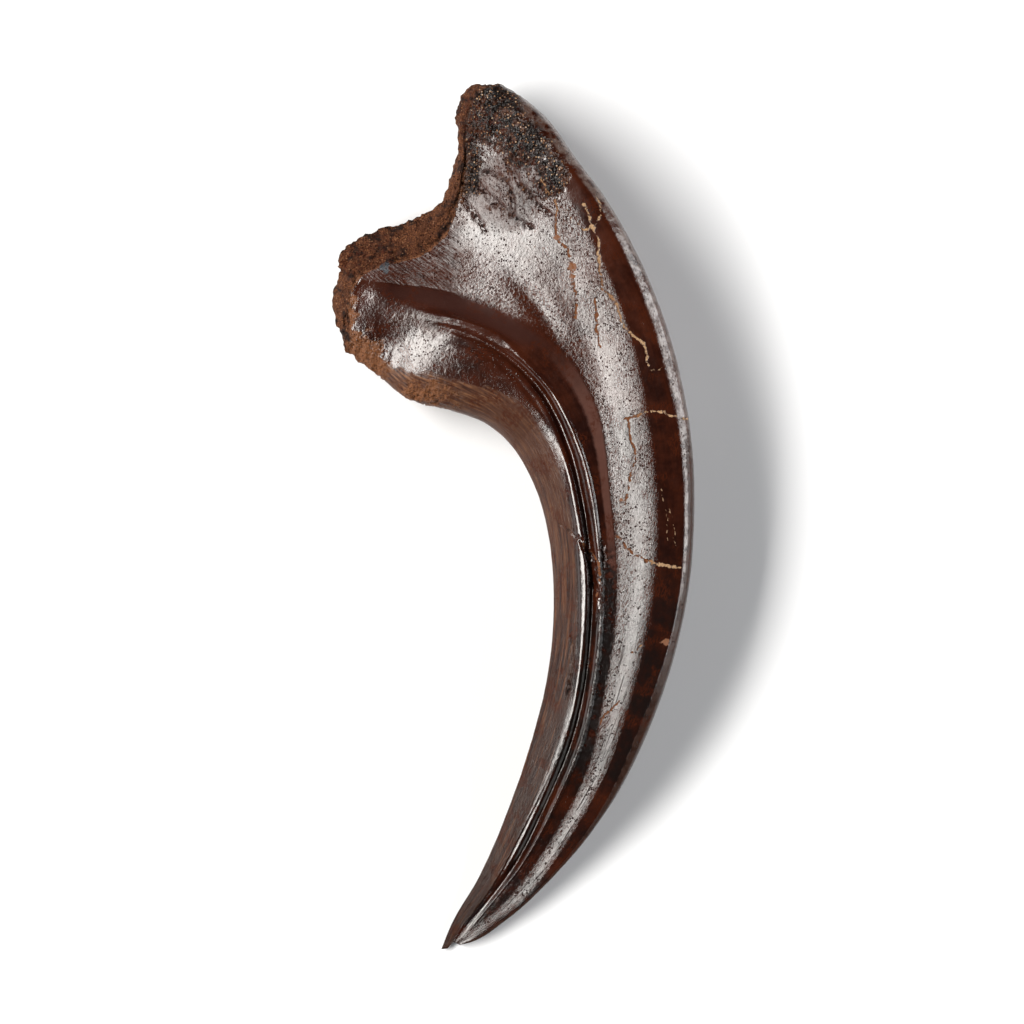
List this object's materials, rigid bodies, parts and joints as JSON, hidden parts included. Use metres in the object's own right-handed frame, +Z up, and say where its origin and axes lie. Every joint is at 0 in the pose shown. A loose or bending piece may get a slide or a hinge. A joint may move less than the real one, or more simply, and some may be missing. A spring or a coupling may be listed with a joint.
{
  "type": "dinosaur fossil claw",
  "caption": "Curved fossil claw of a meat-eating dinosaur: hollow joint face, rough tubercle, grooved sides, sharp tip; lies on its side.",
  "frame": {"origin": "centre of the footprint's box, on the surface the claw lies on", "axes": "+Z up from the surface; +Y toward the joint end, -Y toward the tip; +X toward the back (outer curve) of the claw"},
  "size_m": [0.0541, 0.13, 0.0161],
  "materials": {
    "fossil_bone": "dark chocolate-brown mineralised bone, glossy on the sides, coppery and fibrous on the inner edge, porous at the joint face and horn"
  },
  "bodies": {
    "root": {"claw": "fossil_bone"}
  },
  "joints": []
}
